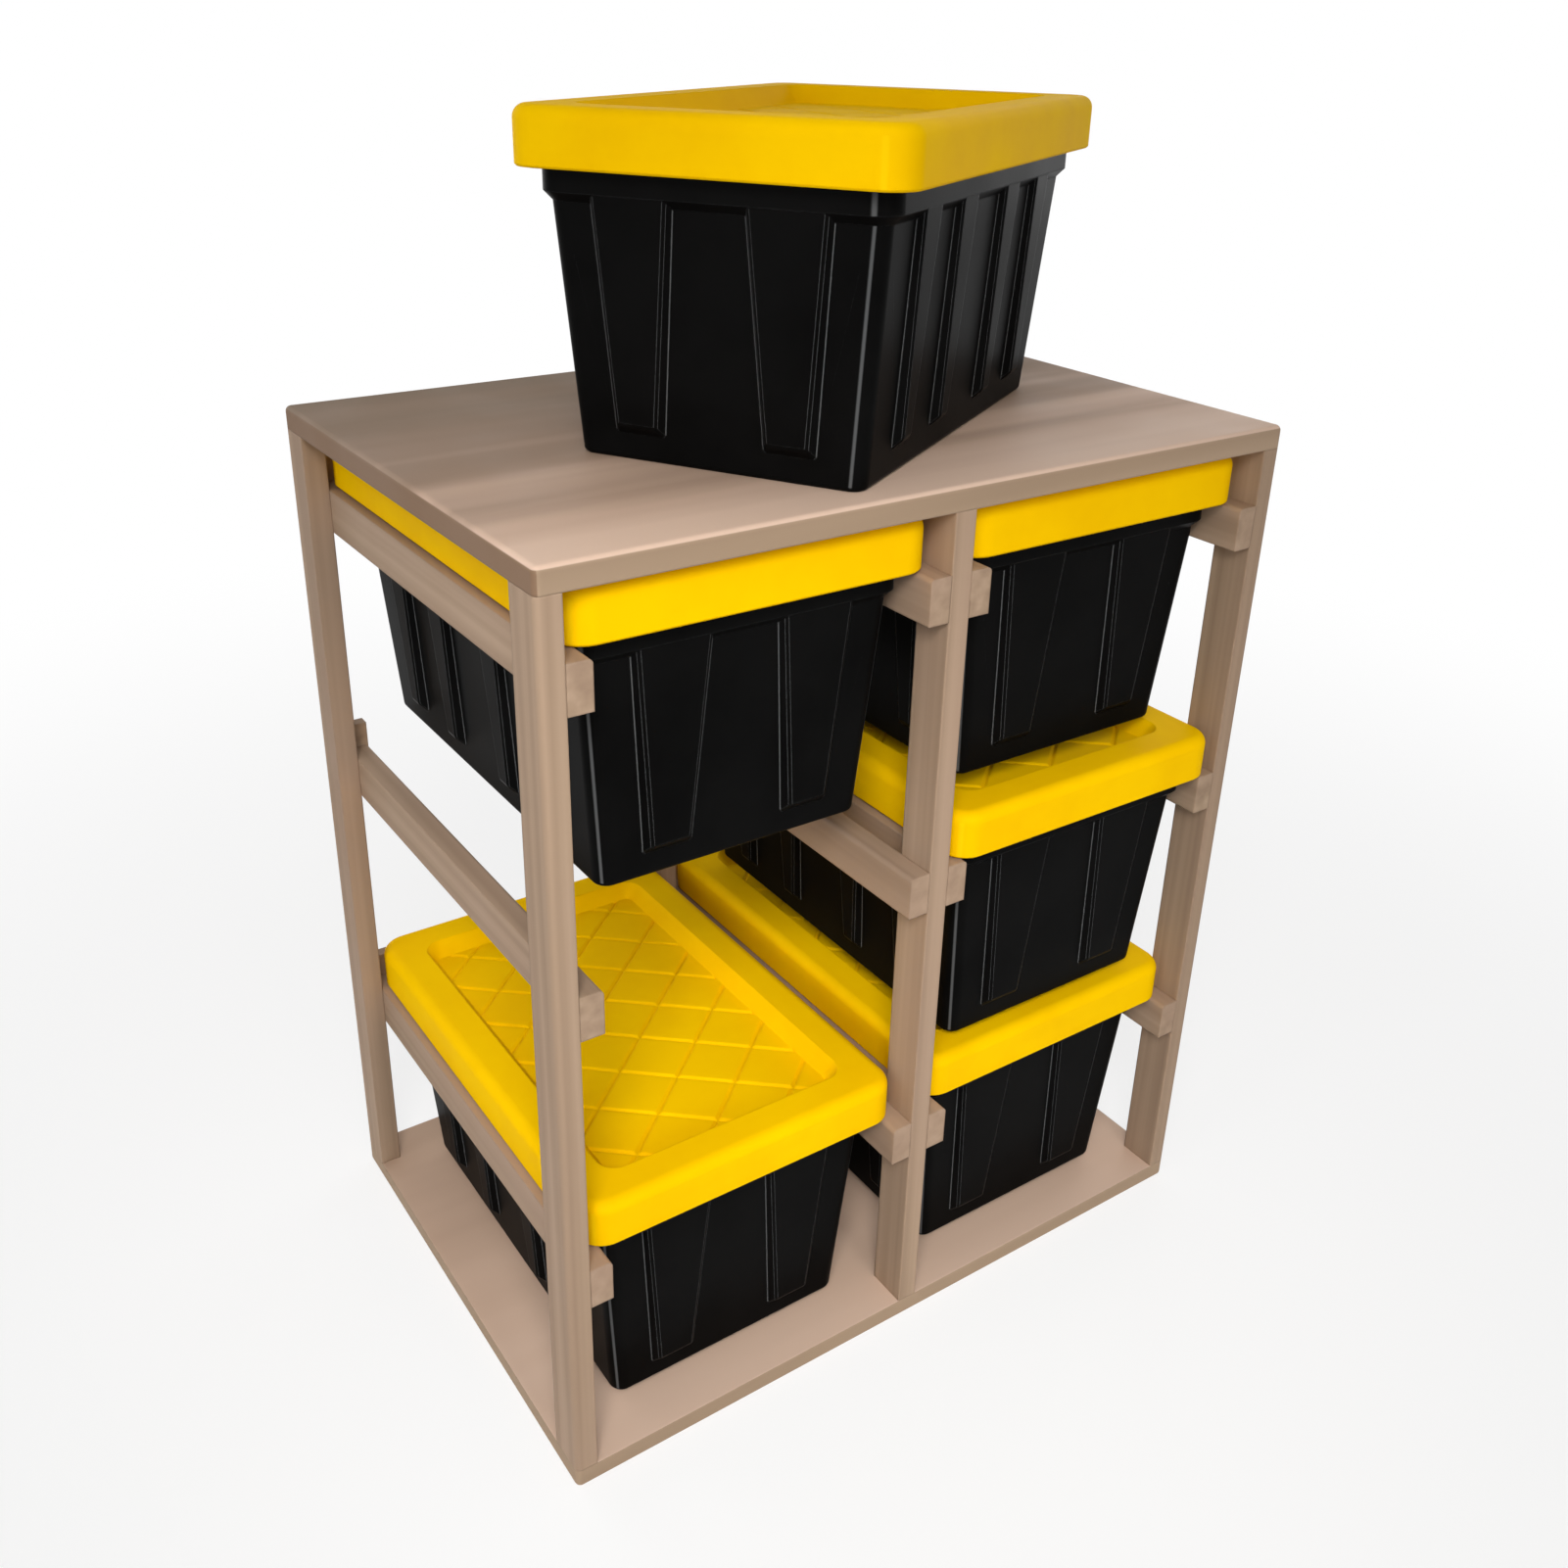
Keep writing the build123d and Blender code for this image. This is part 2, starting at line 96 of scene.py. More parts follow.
class Shader:
    """A material's node tree, with short ways to add and join its nodes."""

    def __init__(self, name: str) -> None:
        """Starts an empty material with an output and a Principled shader.

        Args:
            name: Name of the material.
        """
        self.material = bpy.data.materials.new(name)
        self.material.use_nodes = True
        self.nodes = self.material.node_tree.nodes
        self.links = self.material.node_tree.links
        self.nodes.clear()
        self.output = self.add("ShaderNodeOutputMaterial")
        self.surface = self.add("ShaderNodeBsdfPrincipled")
        self.join(self.surface, "BSDF", self.output, "Surface")

    def add(self, kind: str, **settings: Any) -> bpy.types.Node:
        """Adds a node and sets its properties and the defaults of its inputs.

        Args:
            kind: Blender's identifier of the node type.
            settings: Properties by attribute name, or inputs by socket name.

        Returns:
            The new node.
        """
        node = self.nodes.new(kind)
        for key, value in settings.items():
            socket = key.replace("_", " ")
            if socket in node.inputs:
                node.inputs[socket].default_value = value
            else:
                setattr(node, key, value)
        return node

    def join(self, source: bpy.types.Node, out: str, target: bpy.types.Node, into: Union[str, int]) -> None:
        """Links an output socket to an input socket.

        Args:
            source: Node that the link starts from.
            out: Its output socket.
            target: Node that the link goes to.
            into: Name or index of its input socket.
        """
        self.links.new(source.outputs[out], target.inputs[into])

    def place(self, scale: Triple = UNSCALED) -> bpy.types.Node:
        """Adds object coordinates through a mapping.

        Args:
            scale: Scale of the pattern along X, Y and Z.

        Returns:
            The mapping node.
        """
        where = self.add("ShaderNodeTexCoord")
        mapping = self.add("ShaderNodeMapping", Scale=scale)
        self.join(where, "Object", mapping, "Vector")
        return mapping

    def noise(self, mapping: bpy.types.Node, scale: float, detail: float, rough: float) -> bpy.types.Node:
        """Adds a noise texture on a mapping.

        Args:
            mapping: Node that gives the coordinates.
            scale: Scale of the noise.
            detail: Octaves of detail.
            rough: Strength of the finer octaves.

        Returns:
            The noise node, whose Fac is the noise.
        """
        node = self.add("ShaderNodeTexNoise", Scale=scale, Detail=detail, Roughness=rough)
        self.join(mapping, "Vector", node, "Vector")
        return node

    def ramp(self, source: bpy.types.Node, out: str, stops: Stops) -> bpy.types.Node:
        """Adds a colour ramp on a value.

        Args:
            source: Node that gives the value.
            out: Its output socket.
            stops: Positions and linear colours, in order.

        Returns:
            The ramp node.
        """
        node = self.add("ShaderNodeValToRGB")
        elements = node.color_ramp.elements
        while len(elements) < len(stops):
            elements.new(0.5)
        for element, (position, colour) in zip(elements, stops):
            element.position = position
            element.color = (*colour, 1.0)
        self.join(source, out, node, "Fac")
        return node

    def span(
        self, source: bpy.types.Node, out: str, start: Span, end: Span = UNIT, **settings: Any
    ) -> bpy.types.Node:
        """Maps a value from one span to another.

        Args:
            source: Node that gives the value.
            out: Its output socket.
            start: Span that the value comes from.
            end: Span that it goes to.
            settings: Properties of the map range node.

        Returns:
            The map range node, whose Result is the new value.
        """
        node = self.add("ShaderNodeMapRange", **settings)
        node.inputs["From Min"].default_value, node.inputs["From Max"].default_value = start
        node.inputs["To Min"].default_value, node.inputs["To Max"].default_value = end
        self.join(source, out, node, "Value")
        return node

    def remap(self, noise: bpy.types.Node, end: Span) -> bpy.types.Node:
        """Maps a noise from its usual span to a span of its own.

        Args:
            noise: The noise node.
            end: Span that it goes to.

        Returns:
            The map range node, whose Result is the new value.
        """
        return self.span(noise, "Fac", NOISE_SPAN, end)

    def step(self, source: bpy.types.Node, start: Span, full: float = 1.0) -> bpy.types.Node:
        """Adds a soft step on a value.

        Args:
            source: Node whose Value is stepped.
            start: Values at which the step is zero and at which it is full.
            full: Height of the full step.

        Returns:
            The node, whose Result is the step.
        """
        return self.span(source, "Value", start, (0.0, full), interpolation_type="SMOOTHSTEP")

    def calc(self, operation: str, first: Socket, second: Socket) -> bpy.types.Node:
        """Adds a clamped calculation on two values.

        Args:
            operation: Blender's name of the operation.
            first: Node and output socket of the first value.
            second: The same for the second value.

        Returns:
            The math node.
        """
        node = self.add("ShaderNodeMath", operation=operation, use_clamp=True)
        for index, (source, out) in enumerate((first, second)):
            self.join(source, out, node, index)
        return node

    def lean(self, source: bpy.types.Node, axis: str) -> bpy.types.Node:
        """Tells how far a normal points along an axis, whichever way.

        Args:
            source: Node whose Normal is read.
            axis: X, Y or Z.

        Returns:
            A node whose Value is the size of the normal along that axis.
        """
        parts = self.add("ShaderNodeSeparateXYZ")
        self.join(source, "Normal", parts, "Vector")
        size = self.add("ShaderNodeMath", operation="ABSOLUTE")
        self.join(parts, axis, size, 0)
        return size

    def facing(self, axis: str) -> bpy.types.Node:
        """Tells how far the surface faces along an axis of the piece, whichever way.

        Args:
            axis: X, Y or Z.

        Returns:
            A node whose Value is the size of the surface's normal along that axis.
        """
        return self.lean(self.add("ShaderNodeTexCoord"), axis)

    def upright_corners(self, turn: Span, share: float) -> bpy.types.Node:
        """Finds the rounded upright corners of a piece.

        Args:
            turn: Smaller of the normal's sizes along X and Y at which the mask is zero, and is full.
            share: Value of the full mask.

        Returns:
            A node whose Value is full along the middle of an upright corner.
        """
        least = self.calc("MINIMUM", (self.facing("X"), "Value"), (self.facing("Y"), "Value"))
        turned = self.step(least, turn)
        upright = self.step(self.facing("Z"), UPRIGHT_TILT, share)
        return self.calc("MULTIPLY", (turned, "Result"), (upright, "Result"))

    def upright_edges(self, radius: float, turn: Span) -> bpy.types.Node:
        """Finds the sharp upright edges of a piece, such as those of its ribs.

        Args:
            radius: How far from a sharp turn the mask reaches, in metres.
            turn: Turns of the surface, as one minus a cosine, at which the mask is zero and is one.

        Returns:
            A node whose Value is one along sharp upright edges.
        """
        rounded = self.add("ShaderNodeBevel", samples=BEVEL_SAMPLES, Radius=radius)
        flat = self.add("ShaderNodeNewGeometry")
        alike = self.add("ShaderNodeVectorMath", operation="DOT_PRODUCT")
        self.join(rounded, "Normal", alike, 0)
        self.join(flat, "Normal", alike, 1)
        low, high = turn
        mask = self.step(alike, (1.0 - low, 1.0 - high))
        upright = self.step(self.lean(rounded, "Z"), UPRIGHT_TILT)
        return self.calc("MULTIPLY", (mask, "Result"), (upright, "Result"))

    def blend(
        self, mask: bpy.types.Node, below: bpy.types.Node, above: Union[bpy.types.Node, Colour]
    ) -> bpy.types.Node:
        """Lays a colour over another where a mask is one.

        Args:
            mask: Node whose first output is the mask.
            below: Node whose Color lies below.
            above: Node whose Color lies above, or a linear colour.

        Returns:
            The mix node, whose Color is the outcome.
        """
        node = self.add("ShaderNodeMixRGB")
        self.links.new(mask.outputs[0], node.inputs["Fac"])
        self.join(below, "Color", node, "Color1")
        if isinstance(above, bpy.types.Node):
            self.join(above, "Color", node, "Color2")
        else:
            node.inputs["Color2"].default_value = (*above, 1.0)
        return node

    def coat(self, tint: bpy.types.Node, cloud: bpy.types.Node, roughness: Span, specular: float) -> None:
        """Gives the surface its colour and its sheen.

        Args:
            tint: Node whose Color is the colour.
            cloud: Noise that the roughness follows.
            roughness: Lowest and highest roughness.
            specular: Strength of the reflection.
        """
        self.join(tint, "Color", self.surface, "Base Color")
        self.join(self.remap(cloud, roughness), "Result", self.surface, "Roughness")
        self.surface.inputs["Specular IOR Level"].default_value = specular

    def grit(self, scale: float, depth: float, soften: float) -> None:
        """Gives the surface a fine grain over softened edges.

        Args:
            scale: Scale of the grain.
            depth: Height of the grain in metres.
            soften: Radius of the softened edges in metres.
        """
        height = self.noise(self.place(), scale, GRIT_DETAIL, GRIT_ROUGH)
        node = self.add("ShaderNodeBump", Strength=1.0, Distance=depth)
        self.join(height, "Fac", node, "Height")
        rounded = self.add("ShaderNodeBevel", samples=BEVEL_SAMPLES, Radius=soften)
        self.join(rounded, "Normal", node, "Normal")
        self.join(node, "Normal", self.surface, "Normal")


@dataclass(frozen=True)
class Noise:
    """How a noise texture looks.

    Attributes:
        scale: Scale of the noise.
        detail: Octaves of detail.
        rough: Strength of the finer octaves.
    """

    scale: float = 1.0
    detail: float = 2.0
    rough: float = 0.5

    def on(self, shader: Shader, scale: Triple = UNSCALED) -> bpy.types.Node:
        """Adds the noise to a shader.

        Args:
            shader: Shader that takes the noise.
            scale: Scale of its coordinates along X, Y and Z.

        Returns:
            The noise node.
        """
        return shader.noise(shader.place(scale), self.scale, self.detail, self.rough)


@dataclass(frozen=True)
class BoardFinish:
    """Tan matte finish of the rack's boards, with soft bands along each board.

    Attributes:
        name: Name of the finish.
        dark: Colour of the darker bands.
        mid: Main colour.
        light: Colour of the lighter bands.
        turns: Values of the bands at which those three colours stand.
        blush: Colour of broad pinker patches.
        blush_share: How much of that colour a patch takes at most.
        painted_falloff: Painted light and shade across a panel's level faces, lighter at the front and
            darker towards the back, as positions and colours.
        end_shade: Colour of a panel's end faces, where shade is painted.
        depth: How far a panel reaches to the front and to the back, in metres.
        waver: How far the bands push that painted light and shade.
        roughness: Lowest and highest roughness.
        specular: Strength of the reflection.
        cloud: Noise that the roughness follows.
        streaks: Noise of the bands and patches of a post or rail.
        panel_streaks: Noise of the bands of a panel.
        band: Bands per metre across and along a post or rail.
        panel_band: Bands per metre across and along a panel.
        patch: Patches per metre across and along a board.
        grit: Scale of the fine surface grain.
        grit_depth: Depth of that grain in metres.
        soften: Radius of the softened edges in metres.
    """

    name: str = "tan_board"
    dark: Colour = linear(144, 122, 101)
    mid: Colour = linear(161, 138, 115)
    light: Colour = linear(176, 152, 129)
    turns: Triple = (0.3, 0.5, 0.7)
    blush: Colour = linear(166, 139, 120)
    blush_share: float = 0.7
    # Painted light and shade: level faces lighter at the front, darker towards the back.
    painted_falloff: Stops = (
        (0.05, linear(214, 186, 166)),
        (0.24, linear(200, 171, 151)),
        (0.5, linear(152, 128, 109)),
        (1.0, linear(130, 111, 92)),
    )
    # Painted shade on a panel's end faces, darker than its other faces.
    end_shade: Colour = linear(130, 104, 83)
    depth: float = 0.0634
    waver: float = 0.3
    roughness: Span = (0.55, 0.68)
    specular: float = 0.12
    cloud: Noise = Noise(46.0, 3.0, 0.5)
    streaks: Noise = Noise()
    panel_streaks: Noise = Noise(rough=0.45)
    band: Span = (300.0, 4.0)
    panel_band: Span = (70.0, 5.0)
    patch: Span = (40.0, 5.0)
    grit: float = 1900.0
    grit_depth: float = 0.000012
    soften: float = 0.0006

    def material(self, grain: Grain) -> bpy.types.Material:
        """Makes the finish for boards whose bands run one way.

        Args:
            grain: Direction of the bands.

        Returns:
            The material.
        """
        shader = Shader(f"{self.name}_{grain.value}")
        tint = self.panel(shader) if grain is Grain.ACROSS else self.bar(shader, grain)
        shader.coat(tint, self.cloud.on(shader), self.roughness, self.specular)
        shader.grit(self.grit, self.grit_depth, self.soften)
        return shader.material

    def banded(self, shader: Shader, bands: bpy.types.Node) -> bpy.types.Node:
        """Colours a board by its bands.

        Args:
            shader: Shader that takes the colour.
            bands: Noise of the bands.

        Returns:
            The node whose Color is the colour.
        """
        return shader.ramp(bands, "Fac", tuple(zip(self.turns, (self.dark, self.mid, self.light))))

    def bar(self, shader: Shader, grain: Grain) -> bpy.types.Node:
        """Adds the colour of a post or rail.

        Args:
            shader: Shader that takes the colour.
            grain: Direction of the bands.

        Returns:
            The node whose Color is the colour.
        """
        tint = self.banded(shader, self.streaks.on(shader, self.scales(grain, self.band)))
        patches = self.streaks.on(shader, self.scales(grain, self.patch))
        return shader.blend(shader.remap(patches, (0.0, self.blush_share)), tint, self.blush)

    def panel(self, shader: Shader) -> bpy.types.Node:
        """Adds the colour of a panel, with painted light and shade from front to back on its level faces.

        Args:
            shader: Shader that takes the colour.

        Returns:
            The node whose Color is the colour.
        """
        bands = self.panel_streaks.on(shader, self.scales(Grain.ACROSS, self.panel_band))
        push = shader.remap(bands, (0.0, self.waver))
        split = shader.add("ShaderNodeSeparateXYZ")
        shader.join(shader.place(), "Vector", split, "Vector")
        reach = (-self.waver / 2, 1.0 - self.waver / 2)
        back = shader.span(split, "Y", (-self.depth, self.depth), reach, clamp=False)
        # Painted light and shade: level faces take a colour that falls from light at the front to shade at
        # the back.
        falloff_tone = shader.ramp(shader.calc("ADD", (back, "Result"), (push, "Result")), "Value", self.painted_falloff)
        # Painted shade: faces that face along X take the end colour, a darker shade on the top slab.
        shaded_end_faces = shader.step(shader.facing("X"), FACE_TILT)
        sides = shader.blend(shaded_end_faces, self.banded(shader, bands), self.end_shade)
        return shader.blend(shader.step(shader.facing("Z"), FACE_TILT), sides, falloff_tone)

    @staticmethod
    def scales(grain: Grain, span: Span) -> Triple:
        """Lays a pattern along a board.

        Args:
            grain: Direction of the pattern.
            span: Its scale across and along the board.

        Returns:
            Its scale along X, Y and Z.
        """
        across, along = span
        return {
            Grain.ACROSS: (along, across, across),
            Grain.DEEP: (across, along, across),
            Grain.UPRIGHT: (across, across, along),
        }[grain]


@dataclass(frozen=True)
class ShellFinish:
    """Satin finish of a tote's bin or lid, with a painted highlight along its upright edges and corners.

    Attributes:
        name: Name of the material.
        deep: Colour of the darker patches.
        main: Main colour.
        painted_glint: Colour of the painted highlight along upright edges and corners.
        roughness: Lowest and highest roughness.
        specular: Strength of the reflection.
        turns: Values of the cloud at which the two colours stand.
        cloud: Noise that the colour and the roughness follow.
        glint_reach: Reach of the painted highlight in metres.
        glint_turn: Turns at which the painted highlight starts and is full, as one minus a cosine.
        corner_glint_turn: How far a corner has turned where the painted highlight starts, and where it is
            full.
        corner_glint_share: How much of the painted highlight a corner takes.
        grit: Scale of the fine surface grain.
        grit_depth: Depth of that grain in metres.
        soften: Radius of the softened edges in metres.
    """

    name: str
    deep: Colour
    main: Colour
    # Painted highlight colour along upright edges and down the middle of upright corners.
    painted_glint: Colour
    roughness: Span
    specular: float
    turns: Span = (0.32, 0.6)
    cloud: Noise = Noise(38.0, 4.0, 0.55)
    glint_reach: float = 0.00036
    glint_turn: Span = (0.015, 0.07)
    corner_glint_turn: Span = (0.6, 0.68)
    corner_glint_share: float = 0.5
    grit: float = 2200.0
    grit_depth: float = 0.000008
    soften: float = 0.0005

    def material(self) -> bpy.types.Material:
        """Makes the finish.

        Returns:
            The material.
        """
        shader = Shader(self.name)
        cloud = self.cloud.on(shader)
        tint = shader.ramp(cloud, "Fac", tuple(zip(self.turns, (self.deep, self.main))))
        # Painted highlight: the upright edges and corners found here take a lighter colour.
        edges = shader.upright_edges(self.glint_reach, self.glint_turn)
        corners = shader.upright_corners(self.corner_glint_turn, self.corner_glint_share)
        mask = shader.calc("MAXIMUM", (edges, "Value"), (corners, "Value"))
        shader.coat(shader.blend(mask, tint, self.painted_glint), cloud, self.roughness, self.specular)
        shader.grit(self.grit, self.grit_depth, self.soften)
        return shader.material


YELLOW = ShellFinish(
    name="yellow_lid",
    deep=linear(246, 192, 1),
    main=linear(252, 201, 1),
    # Painted highlight along the lid's upright edges and corners.
    painted_glint=linear(255, 212, 12),
    roughness=(0.46, 0.56),
    specular=0.008,
)
BLACK = ShellFinish(
    name="black_bin",
    deep=linear(9, 9, 9),
    main=linear(14, 14, 14),
    # Painted highlight along the bin's upright edges, rib edges and corners, much lighter than the black.
    painted_glint=linear(116, 118, 120),
    roughness=(0.3, 0.38),
    specular=0.014,
)
TAN = BoardFinish()
BASE = BoardFinish(
    name="tan_base",
    # Painted light and shade on the floor slab: lighter at the front, darker towards the back.
    painted_falloff=(
        (0.05, linear(214, 186, 166)),
        (0.35, linear(206, 177, 156)),
        (0.7, linear(196, 167, 146)),
        (1.0, linear(182, 155, 134)),
    ),
    end_shade=linear(161, 138, 115),
)


def dress(node: bpy.types.Object, material: bpy.types.Material) -> None:
    """Gives a piece one material in place of what it has.

    Args:
        node: The piece.
        material: Its new material.
    """
    node.data.materials.clear()
    node.data.materials.append(material)
    for face in node.data.polygons:
        face.material_index = 0


@dataclass
class Rack:
    """Slabs, posts and rails of the rack.

    Attributes:
        floor: Name of the slab that the rack stands on.
        roof: Name of the slab on top.
        rows: Names of the two rows of posts.
        columns: Names of a row's posts, from left to right.
        levels: Names of the three levels.
        places: Names of a level's rails, from left to right.
        finish: Finish of the boards.
        base: Finish of the slab that the rack stands on.
    """

    floor: str = "bottom_panel"
    roof: str = "top_panel"
    rows: Tuple[str, ...] = ("front", "rear")
    columns: Tuple[str, ...] = ("left", "centre", "right")
    levels: Tuple[str, ...] = ("low", "mid", "top")
    places: Tuple[str, ...] = ("left_outer", "left_inner", "right_inner", "right_outer")
    finish: BoardFinish = TAN
    base: BoardFinish = BASE

    def boards(self) -> Dict[str, Grain]:
        """Lists the boards above the floor slab with the direction of their bands.

        Returns:
            Grain by node name.
        """
        found = {self.roof: Grain.ACROSS}
        for row in self.rows:
            for column in self.columns:
                found[f"post_{row}_{column}"] = Grain.UPRIGHT
        for level in self.levels:
            for place in self.places:
                found[f"rail_{level}_{place}"] = Grain.DEEP
        return found

    def dress(self, nodes: Dict[str, bpy.types.Object]) -> None:
        """Dresses every board.

        Args:
            nodes: The frame's objects by node name.
        """
        dress(nodes[self.floor], self.base.material(Grain.ACROSS))
        materials = {grain: self.finish.material(grain) for grain in Grain}
        for name, grain in self.boards().items():
            dress(nodes[name], materials[grain])
            LOG.info("dressed %s, bands %s", name, grain.value)


@dataclass
class Totes:
    """The lidded totes, five in the rack and one on top of it.

    Attributes:
        places: Name of each tote's place.
        bin_finish: Finish of the bins.
        lid_finish: Finish of the lids.
    """

    places: Tuple[str, ...] = ("top_left", "top_right", "mid_right", "low_left", "low_right", "loose")
    bin_finish: ShellFinish = BLACK
    lid_finish: ShellFinish = YELLOW

    def dress(self, nodes: Dict[str, bpy.types.Object]) -> None:
        """Dresses every bin and lid.

        Args:
            nodes: The frame's objects by node name.
        """
        black = self.bin_finish.material()
        yellow = self.lid_finish.material()
        for place in self.places:
            dress(nodes[f"bin_{place}"], black)
            dress(nodes[f"lid_{place}"], yellow)
            LOG.info("dressed the tote %s", place)


def outward(azimuth: float, elevation: float) -> Vector:
    """Works out the direction towards a place around the object.

    Args:
        azimuth: Turn about the vertical in radians, 0 to the front, positive to the right.
        elevation: Angle above the level in radians.

    Returns:
        The direction, of length one.
    """
    level = math.cos(elevation)
    return Vector((math.sin(azimuth) * level, -math.cos(azimuth) * level, math.sin(elevation)))


@dataclass(frozen=True)
class View:
    """Camera that stands where the photograph was taken.

    Attributes:
        azimuth: Turn about the vertical in degrees, 0 from the front, negative from the left.
        elevation: Angle above the level in degrees.
        roll: Turn about the line of sight in degrees.
        place: Position in metres.
        focal: Focal length in pixels of the photograph.
        centre: Principal point in pixels of the photograph.
        pixels: Width and height of the photograph.
        sensor: Sensor width in millimetres.
        clip: Nearest and farthest distance that is seen, in metres.
    """

    azimuth: float = -34.34
    elevation: float = 24.86
    roll: float = 1.16
    place: Triple = (-0.19135, -0.27539, 0.29902)
    focal: float = 1543.2
    centre: Tuple[float, float] = (781.99, 722.01)
    pixels: int = 1601
    sensor: float = 36.0
    clip: Span = (0.01, 60.0)

    def turn(self) -> Matrix:
        """Works out the camera's orientation.

        Returns:
            Rotation with the camera's right, up and back as its columns.
        """
        turn, tilt, roll = (math.radians(a) for a in (self.azimuth, self.elevation, self.roll))
        back = outward(turn, tilt)
        level = Vector((math.cos(turn), math.sin(turn), 0.0))
        rise = back.cross(level)
        right = math.cos(roll) * level + math.sin(roll) * rise
        up = math.cos(roll) * rise - math.sin(roll) * level
        return Matrix((right, up, back)).transposed()

    def build(self) -> None:
        """Makes the camera and sets it as the scene's own."""
        data = bpy.data.cameras.new("photo_view")
        data.sensor_fit = "HORIZONTAL"
        data.sensor_width = self.sensor
        data.lens = self.focal / self.pixels * self.sensor
        data.shift_x = 0.5 - self.centre[0] / self.pixels
        data.shift_y = self.centre[1] / self.pixels - 0.5
        data.clip_start, data.clip_end = self.clip
        camera = bpy.data.objects.new("photo_view", data)
        camera.matrix_world = Matrix.Translation(self.place) @ self.turn().to_4x4()
        bpy.context.scene.collection.objects.link(camera)
        bpy.context.scene.camera = camera


def seen_directly(nodes: bpy.types.Nodes, links: bpy.types.NodeLinks) -> Socket:
    """Tells rays that show a surface or its mirror image from rays that only carry light.

    Args:
        nodes: Nodes of the tree.
        links: Its links.

    Returns:
        Node and output socket that give one for camera, glossy and transmitted rays.
    """
    path = nodes.new("ShaderNodeLightPath")
    total = path.outputs["Is Camera Ray"]
    for kind in ("Is Glossy Ray", "Is Transmission Ray"):
        adder = nodes.new("ShaderNodeMath")
        adder.operation = "ADD"
        adder.use_clamp = True
        links.new(total, adder.inputs[0])
        links.new(path.outputs[kind], adder.inputs[1])
        total = adder.outputs["Value"]
    return adder, "Value"


@dataclass(frozen=True)
class Lamp:
    """One soft lamp.

    Attributes:
        name: Name of the lamp.
        azimuth: Turn about the vertical in degrees, 0 from the front, positive from the right.
        elevation: Angle above the level in degrees.
        distance: Distance from its aim in metres.
        size: Width and height in metres.
        power: Power in watts.
        colour: Linear colour of its light.
        aim: Point that it faces.
        spread: Width of its beam in degrees.
    """

    name: str
    azimuth: float
    elevation: float
    distance: float
    size: Tuple[float, float]
    power: float
    colour: Colour = WHITE
    aim: Triple = (0.0, 0.0, 0.13)
    spread: float = 180.0

    def build(self) -> None:
        """Makes the lamp, which the camera doesn't see."""
        away = outward(math.radians(self.azimuth), math.radians(self.elevation))
        data = bpy.data.lights.new(self.name, "AREA")
        data.shape = "RECTANGLE"
        data.size, data.size_y = self.size
        data.spread = math.radians(self.spread)
        data.energy = self.power
        data.color = self.colour
        lamp = bpy.data.objects.new(self.name, data)
        lamp.location = Vector(self.aim) + away * self.distance
        lamp.rotation_euler = away.to_track_quat("Z", "Y").to_euler()
        lamp.visible_camera = False
        bpy.context.scene.collection.objects.link(lamp)


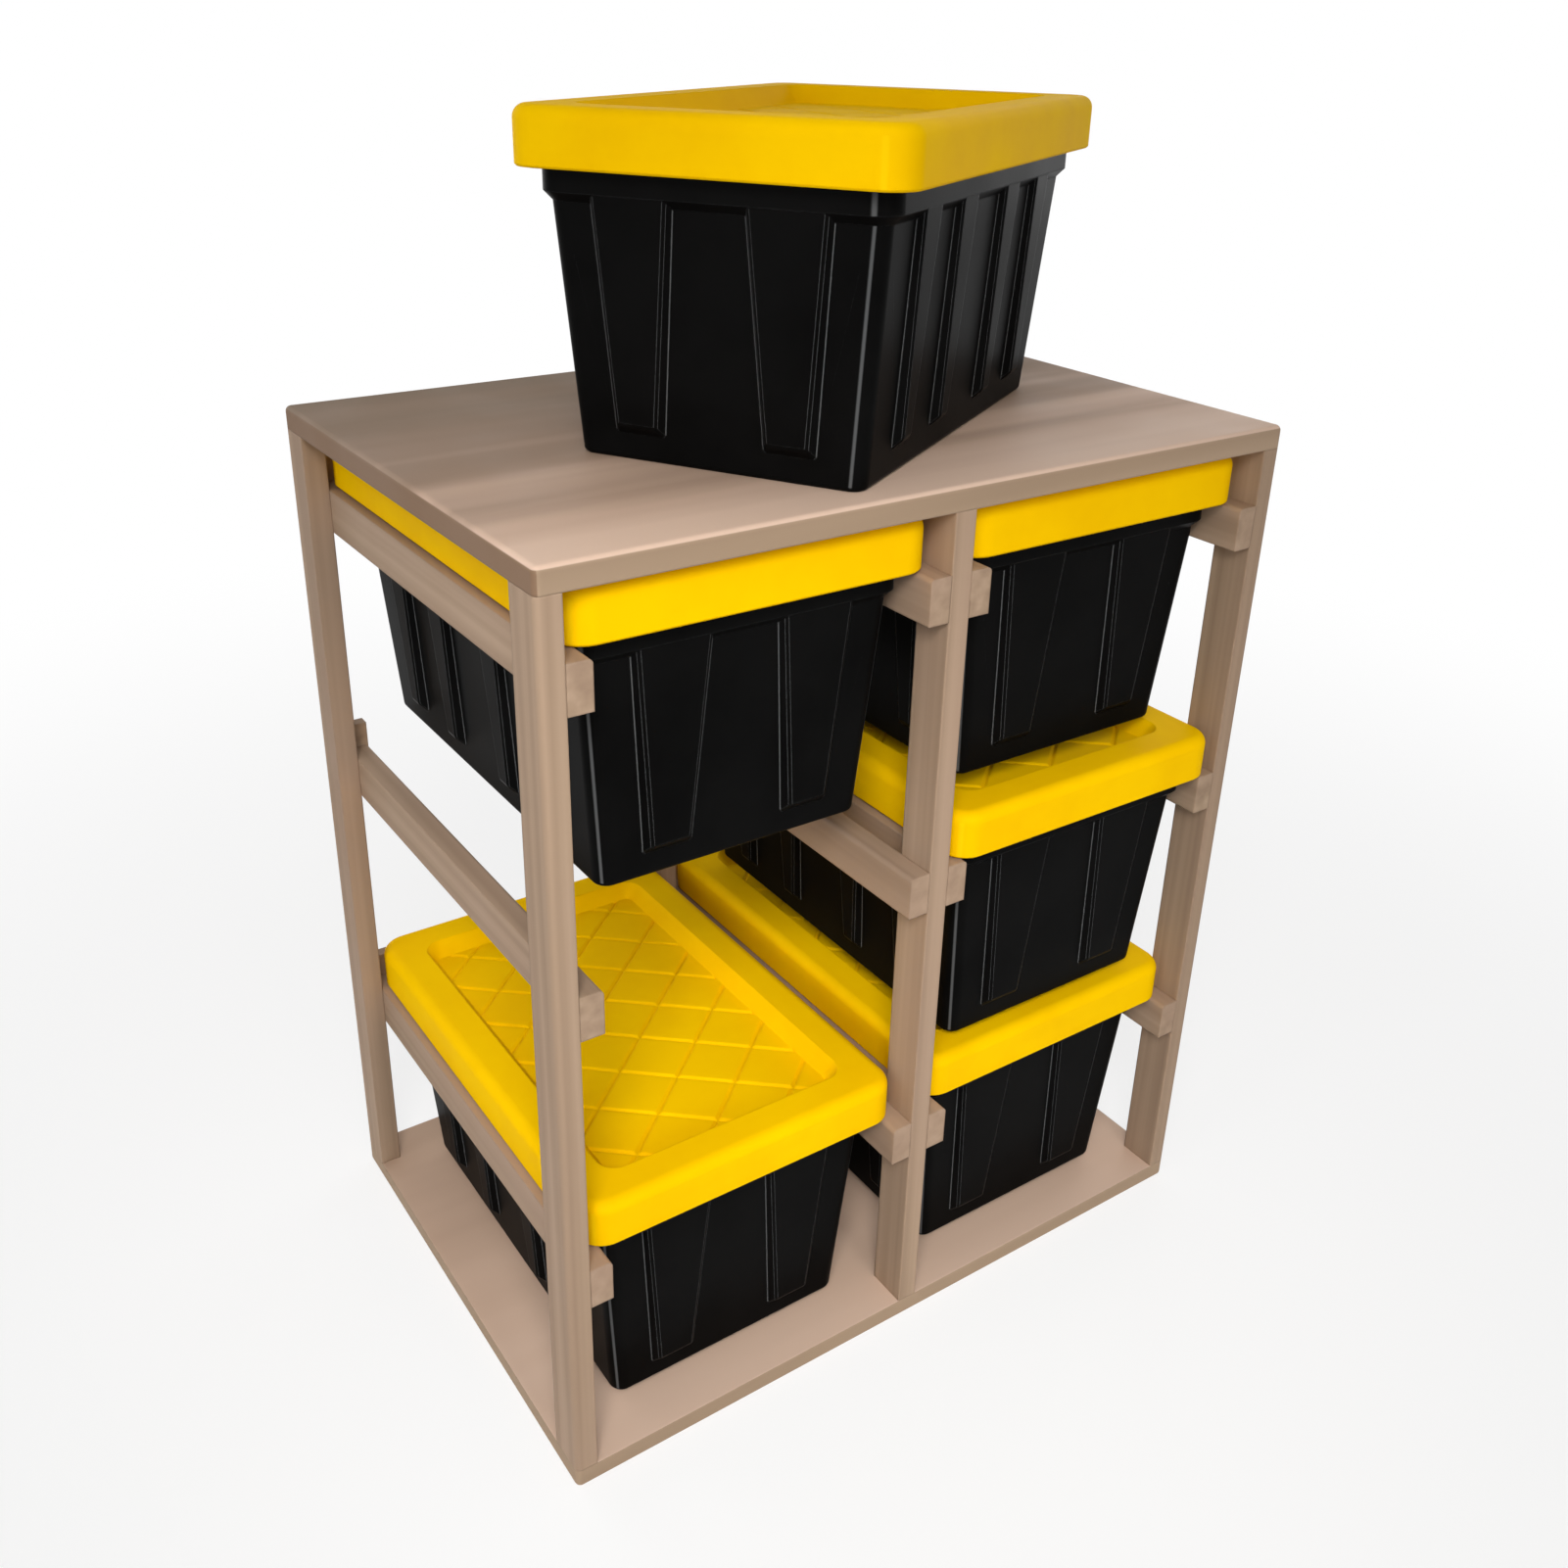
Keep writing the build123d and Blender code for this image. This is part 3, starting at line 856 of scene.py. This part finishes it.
@dataclass
class Studio:
    """Pale floor, soft lamps and an even surround.

    Attributes:
        floor_radius: Radius of the round floor in metres.
        floor_sides: Number of its straight sides.
        floor_colour: Colour of the floor.
        floor_roughness: Its roughness.
        floor_specular: Strength of its reflection.
        pale: Colour that the far floor and the surround show.
        near_share: Share of that colour in the floor under the object.
        fade: Distances in metres over which the floor fades into that colour.
        strength: Strength of the surround's light.
        lamps: The lamps.
    """

    floor_radius: float = 12.0
    floor_sides: int = 96
    floor_colour: Colour = (0.9, 0.9, 0.9)
    floor_roughness: float = 0.85
    floor_specular: float = 0.1
    pale: Colour = WHITE
    near_share: float = 0.72
    fade: Span = (0.15, 0.6)
    strength: float = 0.33
    lamps: List[Lamp] = field(
        default_factory=lambda: [
            Lamp("key", -36.0, 44.0, 0.55, (0.18, 0.18), 0.25, WARM, (-0.02, -0.03, 0.05), 60.0),
            Lamp("fill", -8.0, 24.0, 0.6, (0.18, 0.18), 0.1, WARM, (0.03, -0.03, 0.06), 60.0),
            Lamp("side", -84.0, 16.0, 1.2, (0.5, 0.5), 2.2),
            Lamp("rim", 150.0, 48.0, 1.4, (0.8, 0.8), 1.0),
            Lamp("right", 118.0, 12.0, 1.2, (0.6, 0.6), 2.4),
            Lamp("back", 195.0, 14.0, 1.2, (0.8, 0.6), 3.2),
        ]
    )

    def floor(self) -> None:
        """Makes the floor as a round disc."""
        shape = bmesh.new()
        bmesh.ops.create_circle(shape, cap_ends=True, segments=self.floor_sides, radius=self.floor_radius)
        mesh = bpy.data.meshes.new("floor")
        shape.to_mesh(mesh)
        shape.free()
        floor = bpy.data.objects.new("floor", mesh)
        bpy.context.scene.collection.objects.link(floor)
        mesh.materials.append(self.floor_finish())

    def floor_finish(self) -> bpy.types.Material:
        """Makes the floor's finish, which takes the object's shadow and fades out far from it.

        Returns:
            The material.
        """
        shader = Shader("pale_floor")
        shader.surface.inputs["Base Color"].default_value = (*self.floor_colour, 1.0)
        shader.surface.inputs["Roughness"].default_value = self.floor_roughness
        shader.surface.inputs["Specular IOR Level"].default_value = self.floor_specular
        away = shader.add("ShaderNodeVectorMath", operation="LENGTH")
        shader.join(shader.place(), "Vector", away, 0)
        far = shader.span(
            away, "Value", self.fade, (self.near_share, 1.0), interpolation_type="SMOOTHSTEP"
        )
        share = shader.calc("MULTIPLY", seen_directly(shader.nodes, shader.links), (far, "Result"))
        glow = shader.add("ShaderNodeEmission", Strength=1.0, Color=(*self.pale, 1.0))
        mix = shader.add("ShaderNodeMixShader")
        shader.join(share, "Value", mix, "Fac")
        shader.join(shader.surface, "BSDF", mix, 1)
        shader.join(glow, "Emission", mix, 2)
        shader.join(mix, "Shader", shader.output, "Surface")
        return shader.material

    def world(self) -> None:
        """Makes the surround."""
        world = bpy.data.worlds.new("even_surround")
        world.use_nodes = True
        nodes, links = world.node_tree.nodes, world.node_tree.links
        nodes.clear()
        output = nodes.new("ShaderNodeOutputWorld")
        light = nodes.new("ShaderNodeBackground")
        light.inputs["Color"].default_value = (*WHITE, 1.0)
        light.inputs["Strength"].default_value = self.strength
        shown = nodes.new("ShaderNodeBackground")
        shown.inputs["Color"].default_value = (*self.pale, 1.0)
        mix = nodes.new("ShaderNodeMixShader")
        node, out = seen_directly(nodes, links)
        links.new(node.outputs[out], mix.inputs["Fac"])
        links.new(light.outputs["Background"], mix.inputs[1])
        links.new(shown.outputs["Background"], mix.inputs[2])
        links.new(mix.outputs["Shader"], output.inputs["Surface"])
        bpy.context.scene.world = world

    def build(self) -> None:
        """Makes the floor, the surround and the lamps."""
        self.floor()
        self.world()
        for lamp in self.lamps:
            lamp.build()
            LOG.info("lit by %s", lamp.name)


def corners(box: Sequence[Any]) -> List[List[float]]:
    """Turns a box's two corners into plain lists of numbers.

    Args:
        box: Lowest and highest corner.

    Returns:
        The corners as lists.
    """
    return [[float(value) for value in corner] for corner in box]


def main() -> None:
    """Loads the frame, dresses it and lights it."""
    logging.basicConfig(level=logging.INFO, format="%(name)s: %(message)s")
    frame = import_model()
    Rack().dress(frame["nodes"])
    Totes().dress(frame["nodes"])
    Studio().build()
    View().build()
    bpy.context.scene.view_settings.view_transform = "Standard"
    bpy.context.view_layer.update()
    LOG.info("done")


if __name__ == "__main__":
    main()
